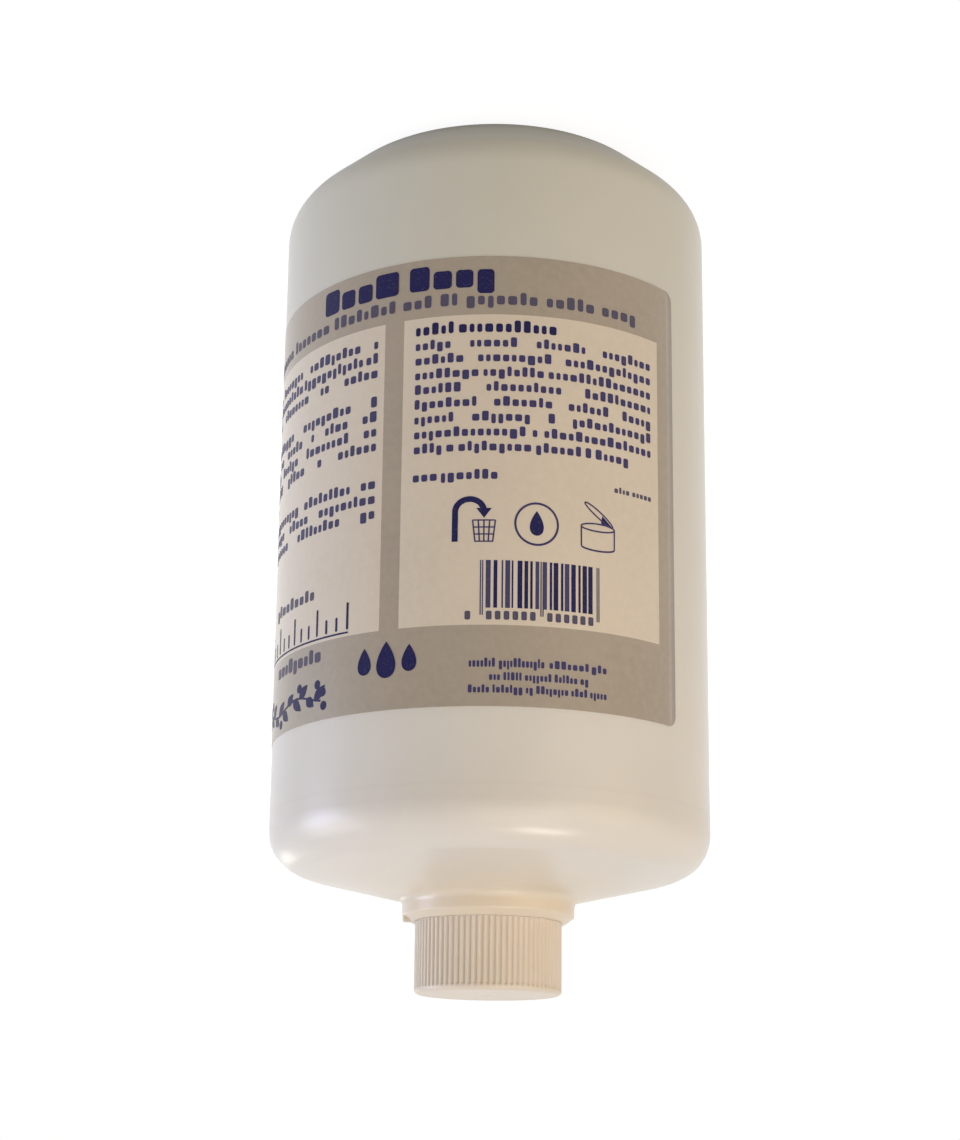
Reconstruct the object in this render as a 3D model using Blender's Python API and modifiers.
"""Hand soap refill pack: a round blow-moulded bottle with a ribbed screw cap, standing on its base.

Metres, +Z up. The origin is the middle of the standing ring, and the middle of the label faces -Y.
Radii are measured from the bottle's axis, heights from the surface that the bottle stands on.
"""

import math

import bmesh
import bpy
from mathutils import Matrix, Vector

# Bottle, outside
BODY_RADIUS = 0.045
WALL = 0.0012
RING_INNER_RADIUS = 0.0255
PUSH_UP = 0.0045
HEEL_UPPER_RADIUS = 0.009
HEEL_CONE_LENGTH = 0.0095
HEEL_CONE_ANGLE = math.radians(49)
HEEL_LOWER_RADIUS = 0.008
WALL_TOP = 0.1432
SHOULDER_RADIUS = 0.0085
SHOULDER_SLOPE = math.radians(13.4)

# Collar and neck
COLLAR_RADIUS = 0.01745
COLLAR_FILLET = 0.0017
COLLAR_HEIGHT = 0.0019
COLLAR_WALL = 0.0018
COLLAR_CHAMFER_IN = 0.0018
COLLAR_CHAMFER_UP = 0.0013
NECK_RADIUS = 0.0123
NECK_WALL = 0.0015
NECK_HEIGHT = 0.0114
LIP_EDGE = 0.0004

# The lug on the collar, at the mould's parting line
LUG_WIDTH = 0.0030
LUG_DEPTH = 0.0026
LUG_HEIGHT = 0.0019
LUG_ANGLE = math.radians(62)

# Thread, one ridge on the neck and one in the cap
THREAD_PITCH = 0.00423
THREAD_TURNS = 1.35
NECK_RIDGE_RADIUS = 0.00085
NECK_RIDGE_STANDS_OUT = 0.0011
NECK_RIDGE_START = 0.0030
CAP_RIDGE_RADIUS = 0.0008
CAP_RIDGE_STANDS_IN = 0.0010
CAP_RIDGE_FIRST_TURN = 0.25
CAP_RIDGE_TURNS = 1.25

# Screw cap and its liner
THREAD_GAP = 0.00045
CAP_WALL = 0.00105
CAP_TOP_THICKNESS = 0.0014
CAP_GAP = 0.0003
CAP_RIM_WIDTH = 0.0012
CAP_RIM_HEIGHT = 0.00075
LINER_THICKNESS = 0.0011
LINER_GAP = 0.0003
RIB_COUNT = 78
RIB_DEPTH = 0.00035
RIB_SHARE = 0.58
RIB_FOOT = 0.0003
RIB_EDGE = 0.00003

# Label, on the wall
LABEL_FOOT = 0.0357
LABEL_HEIGHT = 0.0901
LABEL_ANGLE = math.radians(156.7)
LABEL_THICKNESS = 0.00012
LABEL_GAP = 0.00015
LABEL_CORNER = 0.0022

# The soap
SOAP_BELOW_WALL_TOP = 0.0030
SOAP_GAP = 0.0003

# Fineness
TURN_STEPS = 60
ARC_STEPS = 5
THREAD_STEPS_PER_TURN = 26
LABEL_COLUMNS = 28
MERGE = 0.00001

# Worked out from the above
HEEL_CENTRE_RADIUS = BODY_RADIUS - HEEL_UPPER_RADIUS
SHOULDER_CENTRE_RADIUS = BODY_RADIUS - SHOULDER_RADIUS
LABEL_RADIUS = BODY_RADIUS + LABEL_GAP
CAP_INNER_RADIUS = NECK_RADIUS + NECK_RIDGE_STANDS_OUT + THREAD_GAP
CAP_RADIUS = CAP_INNER_RADIUS + CAP_WALL
SOAP_LEVEL = WALL_TOP - SOAP_BELOW_WALL_TOP


def arc(centre, radius, start, end, steps=ARC_STEPS):
    """Points (radius, height) of an arc, angles in radians, 0 pointing away from the axis and up positive."""
    points = []
    for i in range(steps + 1):
        angle = start + (end - start) * i / steps
        points.append((centre[0] + radius * math.cos(angle), centre[1] + radius * math.sin(angle)))
    return points


def heel_centres():
    """Centres of the heel's upper and lower roundings, and where the lower one meets the floor."""
    run = HEEL_CONE_LENGTH * math.sin(HEEL_CONE_ANGLE)
    drop = HEEL_CONE_LENGTH * math.cos(HEEL_CONE_ANGLE)
    difference = HEEL_UPPER_RADIUS - HEEL_LOWER_RADIUS
    lower = (
        HEEL_CENTRE_RADIUS + difference * math.cos(HEEL_CONE_ANGLE) - run,
        HEEL_LOWER_RADIUS,
    )
    upper = (HEEL_CENTRE_RADIUS, lower[1] + difference * math.sin(HEEL_CONE_ANGLE) + drop)
    return upper, lower


def shoulder_cone_height(radius):
    """Height of the shoulder's cone at a radius."""
    end_radius = SHOULDER_CENTRE_RADIUS + SHOULDER_RADIUS * math.sin(SHOULDER_SLOPE)
    end_height = WALL_TOP + SHOULDER_RADIUS * math.cos(SHOULDER_SLOPE)
    return end_height + (end_radius - radius) * math.tan(SHOULDER_SLOPE)


FILLET_START = COLLAR_RADIUS + COLLAR_FILLET * math.tan((math.pi / 2 + SHOULDER_SLOPE) / 2)
FILLET_CENTRE = (
    COLLAR_RADIUS + COLLAR_FILLET,
    shoulder_cone_height(FILLET_START) + COLLAR_FILLET / math.cos(SHOULDER_SLOPE)
    + (FILLET_START - COLLAR_RADIUS - COLLAR_FILLET) * math.tan(SHOULDER_SLOPE),
)
COLLAR_TOP = FILLET_CENTRE[1] + COLLAR_HEIGHT
CHAMFER_TOP = COLLAR_TOP + COLLAR_CHAMFER_UP
NECK_TOP = CHAMFER_TOP + NECK_HEIGHT
LINER_FOOT = NECK_TOP + LINER_GAP
CAP_CEILING = LINER_FOOT + LINER_THICKNESS + LINER_GAP
CAP_TOP = CAP_CEILING + CAP_TOP_THICKNESS
CAP_FOOT = CHAMFER_TOP + CAP_GAP


def neck_outside():
    """The outside from the lip down to the foot of the collar's fillet."""
    quarter = math.pi / 2
    points = [(NECK_RADIUS - LIP_EDGE, NECK_TOP), (NECK_RADIUS, NECK_TOP - LIP_EDGE)]
    points += [(NECK_RADIUS, CHAMFER_TOP), (COLLAR_RADIUS - COLLAR_CHAMFER_IN, CHAMFER_TOP)]
    points.append((COLLAR_RADIUS, COLLAR_TOP))
    points += arc(FILLET_CENTRE, COLLAR_FILLET, 2 * quarter, 3 * quarter - SHOULDER_SLOPE, 3)
    return points


def body_outside():
    """The outside from the top of the shoulder's rounding down to the middle of the base."""
    upper, lower = heel_centres()
    quarter = math.pi / 2
    shoulder_centre = (SHOULDER_CENTRE_RADIUS, WALL_TOP)
    points = arc(shoulder_centre, SHOULDER_RADIUS, quarter - SHOULDER_SLOPE, 0)
    points += arc(upper, HEEL_UPPER_RADIUS, 0, -HEEL_CONE_ANGLE)
    points += arc(lower, HEEL_LOWER_RADIUS, -HEEL_CONE_ANGLE, -quarter, 3)
    points.append((RING_INNER_RADIUS, 0))
    for share in (0.9, 0.72, 0.4):
        points.append((RING_INNER_RADIUS * share, PUSH_UP * (1 - share ** 4)))
    points.append((0, PUSH_UP))
    return points


def body_inside(distance):
    """The body's outside moved inwards by a distance, each corner mitred."""
    points = [Vector(p) for p in neck_outside()[-1:] + body_outside()]
    moved = []
    for before, here, after in zip(points, points[1:], points[2:]):
        first = (here - before).normalized()
        second = (after - here).normalized()
        normal = Vector((first.y + second.y, -first.x - second.x)).normalized()
        reach = distance / normal.dot(Vector((first.y, -first.x)))
        moved.append(tuple(here + normal * reach))
    return moved + [(0, PUSH_UP + distance)]


def collar_inside(first_below):
    """The inside from the lip down the bore and round the hollow collar to the shoulder's cone."""
    bore = NECK_RADIUS - NECK_WALL
    hollow = COLLAR_RADIUS - COLLAR_WALL
    ceiling = CHAMFER_TOP - COLLAR_WALL
    cone = first_below[1] + (first_below[0] - hollow) * math.tan(SHOULDER_SLOPE)
    points = [(bore + LIP_EDGE, NECK_TOP), (bore, NECK_TOP - LIP_EDGE), (bore, ceiling)]
    points += [(hollow - COLLAR_CHAMFER_IN / 2, ceiling), (hollow, ceiling - COLLAR_CHAMFER_UP / 2)]
    points.append((hollow, cone))
    return points


def make_material(name, colour, roughness):
    material = bpy.data.materials.new(name)
    material.use_nodes = True
    shader = material.node_tree.nodes["Principled BSDF"]
    shader.inputs["Base Color"].default_value = (*colour, 1)
    shader.inputs["Roughness"].default_value = roughness
    shader.inputs["Metallic"].default_value = 0
    material.diffuse_color = (*colour, 1)
    return material


def add_object(name, mesh, collection, material=None):
    obj = bpy.data.objects.new(name, mesh)
    collection.objects.link(obj)
    if material:
        mesh.materials.append(material)
    return obj


def make_cutter(obj):
    obj.hide_render = True
    obj.display_type = "WIRE"
    return obj


def turned(name, profile, collection, material):
    """A shape turned about Z from a closed run of (radius, height) points, down its outer side first."""
    mesh = bpy.data.meshes.new(name)
    count = len(profile)
    pairs = [(i, (i + 1) % count) for i in range(count)]
    edges = [(i, j) for i, j in pairs if profile[i][0] > 0 or profile[j][0] > 0]
    mesh.from_pydata([(radius, 0, height) for radius, height in profile], edges, [])
    obj = add_object(name, mesh, collection, material)
    screw = obj.modifiers.new("Turn", "SCREW")
    screw.steps = TURN_STEPS
    screw.render_steps = TURN_STEPS
    screw.use_merge_vertices = True
    screw.merge_threshold = MERGE
    screw.use_smooth_shade = True
    return obj


def make_ridge(name, path_radius, section_radius, height, first_turn, turns, collection):
    """A thread's ridge: a round bead along a right-hand helix that passes a height at angle 0."""
    curve = bpy.data.curves.new(name, "CURVE")
    curve.dimensions = "3D"
    curve.bevel_depth = section_radius
    curve.bevel_resolution = 1
    curve.use_fill_caps = True
    steps = round(THREAD_STEPS_PER_TURN * turns)
    spline = curve.splines.new("POLY")
    spline.points.add(steps)
    for i, point in enumerate(spline.points):
        turn = first_turn + turns * i / steps
        angle = math.tau * turn
        along = (path_radius * math.cos(angle), path_radius * math.sin(angle))
        point.co = (*along, height + THREAD_PITCH * turn, 1)
    guide = bpy.data.objects.new(name + "_path", curve)
    collection.objects.link(guide)
    bpy.context.view_layer.update()
    bead = bpy.data.meshes.new_from_object(guide.evaluated_get(bpy.context.evaluated_depsgraph_get()))
    bpy.data.objects.remove(guide)
    welded = bmesh.new()
    welded.from_mesh(bead)
    bmesh.ops.remove_doubles(welded, verts=welded.verts, dist=MERGE)
    bmesh.ops.recalc_face_normals(welded, faces=welded.faces)
    welded.to_mesh(bead)
    welded.free()
    return make_cutter(add_object(name, bead, collection))


def join(obj, other):
    union = obj.modifiers.new("Join " + other.name, "BOOLEAN")
    union.operation = "UNION"
    union.solver = "EXACT"
    union.object = other


def make_bottle(collection, helpers):
    """The blow-moulded bottle: body, heel and pushed-up base, shoulder, collar and threaded neck."""
    inside = body_inside(WALL)
    profile = neck_outside() + body_outside() + inside[::-1] + collar_inside(inside[0])[::-1]
    plastic = make_material("milky_polyethylene", (0.68, 0.65, 0.60), 0.38)
    bottle = turned("bottle", profile, collection, plastic)
    thread = make_ridge(
        "neck_ridge",
        NECK_RADIUS + NECK_RIDGE_STANDS_OUT - NECK_RIDGE_RADIUS,
        NECK_RIDGE_RADIUS,
        CHAMFER_TOP + NECK_RIDGE_START,
        0,
        THREAD_TURNS,
        helpers,
    )
    join(bottle, thread)
    join(bottle, make_lug(helpers))
    return bottle


def make_lug(helpers):
    """The small moulded lug on the collar's chamfer."""
    mesh = bpy.data.meshes.new("lug")
    block = bmesh.new()
    bmesh.ops.create_cube(block, size=1)
    bmesh.ops.scale(block, vec=(LUG_DEPTH, LUG_WIDTH, LUG_HEIGHT), verts=block.verts)
    block.to_mesh(mesh)
    block.free()
    lug = make_cutter(add_object("lug", mesh, helpers))
    reach = COLLAR_RADIUS - LUG_DEPTH / 2
    direction = LUG_ANGLE - math.pi / 2
    lug.location = (
        reach * math.cos(direction),
        reach * math.sin(direction),
        CHAMFER_TOP - LUG_HEIGHT / 2,
    )
    lug.rotation_euler.z = direction
    return lug


def make_soap(collection):
    """The soap that fills the bottle, a flat top at its level."""
    below = [point for point in body_inside(WALL + SOAP_GAP) if point[1] < SOAP_LEVEL]
    profile = [(0, SOAP_LEVEL), (below[0][0], SOAP_LEVEL)] + below
    return turned("liquid_soap", profile, collection, make_material("pale_soap", (0.82, 0.78, 0.72), 0.2))


def make_label(collection):
    """The printed film label, wrapped round the wall, with rounded corners."""
    width = LABEL_ANGLE * LABEL_RADIUS
    mesh = bpy.data.meshes.new("label")
    sheet = bmesh.new()
    bmesh.ops.create_grid(sheet, x_segments=LABEL_COLUMNS, y_segments=1, size=0.5)
    bmesh.ops.scale(sheet, vec=(width, LABEL_HEIGHT, 1), verts=sheet.verts)
    corners = [v for v in sheet.verts if len(v.link_edges) == 2]
    bmesh.ops.bevel(
        sheet, geom=corners, offset=LABEL_CORNER, segments=3, profile=0.5, affect="VERTICES"
    )
    for vertex in sheet.verts:
        angle = vertex.co.x / LABEL_RADIUS
        height = LABEL_FOOT + LABEL_HEIGHT / 2 + vertex.co.y
        vertex.co = (LABEL_RADIUS * math.sin(angle), -LABEL_RADIUS * math.cos(angle), height)
    sheet.to_mesh(mesh)
    sheet.free()
    label = add_object("label", mesh, collection, make_material("label_film", (0.31, 0.28, 0.26), 0.35))
    film = label.modifiers.new("Film", "SOLIDIFY")
    film.thickness = LABEL_THICKNESS
    film.offset = 1
    return label


def make_liner(collection):
    """The foam wad that seals the neck, held in the top of the cap."""
    radius = CAP_INNER_RADIUS - LINER_GAP
    profile = [
        (0, LINER_FOOT + LINER_THICKNESS),
        (radius, LINER_FOOT + LINER_THICKNESS),
        (radius, LINER_FOOT),
        (0, LINER_FOOT),
    ]
    return turned("cap_liner", profile, collection, make_material("liner_foam", (0.86, 0.86, 0.84), 0.7))


def make_cap(collection, helpers):
    """The screw cap: a rounded rim over a band of fine ribs, hollow, with a thread ridge inside."""
    rib_top = CAP_TOP - CAP_RIM_HEIGHT
    core_radius = CAP_RADIUS - RIB_DEPTH
    profile = [(0, CAP_TOP)]
    for across, up in arc((0, 0), 1, math.pi / 2, 0):
        radius = CAP_RADIUS - CAP_RIM_WIDTH * (1 - across)
        profile.append((radius, rib_top + CAP_RIM_HEIGHT * up))
    profile += [(core_radius, rib_top), (core_radius, CAP_FOOT)]
    profile += [(CAP_INNER_RADIUS, CAP_FOOT), (CAP_INNER_RADIUS, CAP_CEILING), (0, CAP_CEILING)]
    plastic = make_material("cap_polypropylene", (0.72, 0.64, 0.54), 0.42)
    cap = turned("screw_cap", profile, collection, plastic)
    join(cap, make_ribs(rib_top, helpers))
    thread = make_ridge(
        "cap_ridge",
        CAP_INNER_RADIUS - CAP_RIDGE_STANDS_IN + CAP_RIDGE_RADIUS,
        CAP_RIDGE_RADIUS,
        CHAMFER_TOP + NECK_RIDGE_START - THREAD_PITCH / 2,
        CAP_RIDGE_FIRST_TURN,
        CAP_RIDGE_TURNS,
        helpers,
    )
    join(cap, thread)
    return cap


def make_ribs(rib_top, helpers):
    """The grip ribs, each a bar that starts inside the cap's wall, up to just inside the rim."""
    mesh = bpy.data.meshes.new("ribs")
    ribs = bmesh.new()
    sunk = RIB_DEPTH + CAP_WALL / 3
    foot = CAP_FOOT + RIB_FOOT
    top = rib_top + CAP_RIM_HEIGHT / 4
    width = math.tau * CAP_RADIUS / RIB_COUNT * RIB_SHARE
    size = Matrix.Diagonal((sunk, width, top - foot, 1))
    place = Matrix.Translation((CAP_RADIUS - RIB_EDGE - sunk / 2, 0, (foot + top) / 2))
    for i in range(RIB_COUNT):
        turn = Matrix.Rotation(math.tau * i / RIB_COUNT, 4, "Z")
        bmesh.ops.create_cube(ribs, size=1, matrix=turn @ place @ size)
    ribs.to_mesh(mesh)
    ribs.free()
    return make_cutter(add_object("ribs", mesh, helpers))


def clear_scene():
    for obj in list(bpy.data.objects):
        bpy.data.objects.remove(obj, do_unlink=True)


def main():
    clear_scene()
    parts = bpy.data.collections.new("soap_refill_pack")
    helpers = bpy.data.collections.new("cutters")
    for collection in (parts, helpers):
        bpy.context.scene.collection.children.link(collection)
    make_bottle(parts, helpers)
    make_soap(parts)
    make_label(parts)
    make_liner(parts)
    make_cap(parts, helpers)
    bpy.context.view_layer.update()


main()
